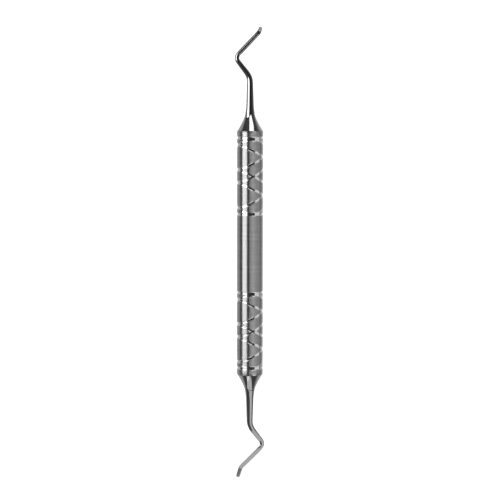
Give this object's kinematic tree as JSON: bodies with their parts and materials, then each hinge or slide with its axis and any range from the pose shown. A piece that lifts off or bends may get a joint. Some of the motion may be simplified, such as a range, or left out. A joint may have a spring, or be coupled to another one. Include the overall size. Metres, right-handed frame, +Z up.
{
  "type": "hand scaler",
  "caption": "Double-ended dental hand scaler: a hollow grooved metal handle with a tapered ferrule and a bent, bladed working end at each end.",
  "frame": {"origin": "on the underside of the handle's plain middle band, halfway along the handle", "axes": "+X along the handle towards the upper working end, +Z up away from the surface it lies on, +Y to the side of the upper working end's outer knee"},
  "size_m": [0.1755, 0.0116, 0.01],
  "materials": {
    "handle": "turned and finely brushed round the handle, with bright engraved grooves",
    "ferrules": "mirror-polished stainless steel",
    "working_ends": "polished stainless steel, with a finer satin on the blades"
  },
  "bodies": {
    "root": {"handle_tube": "handle", "upper_cone": "ferrules", "lower_cone": "ferrules", "upper_working_end": "working_ends", "lower_working_end": "working_ends"}
  },
  "joints": []
}
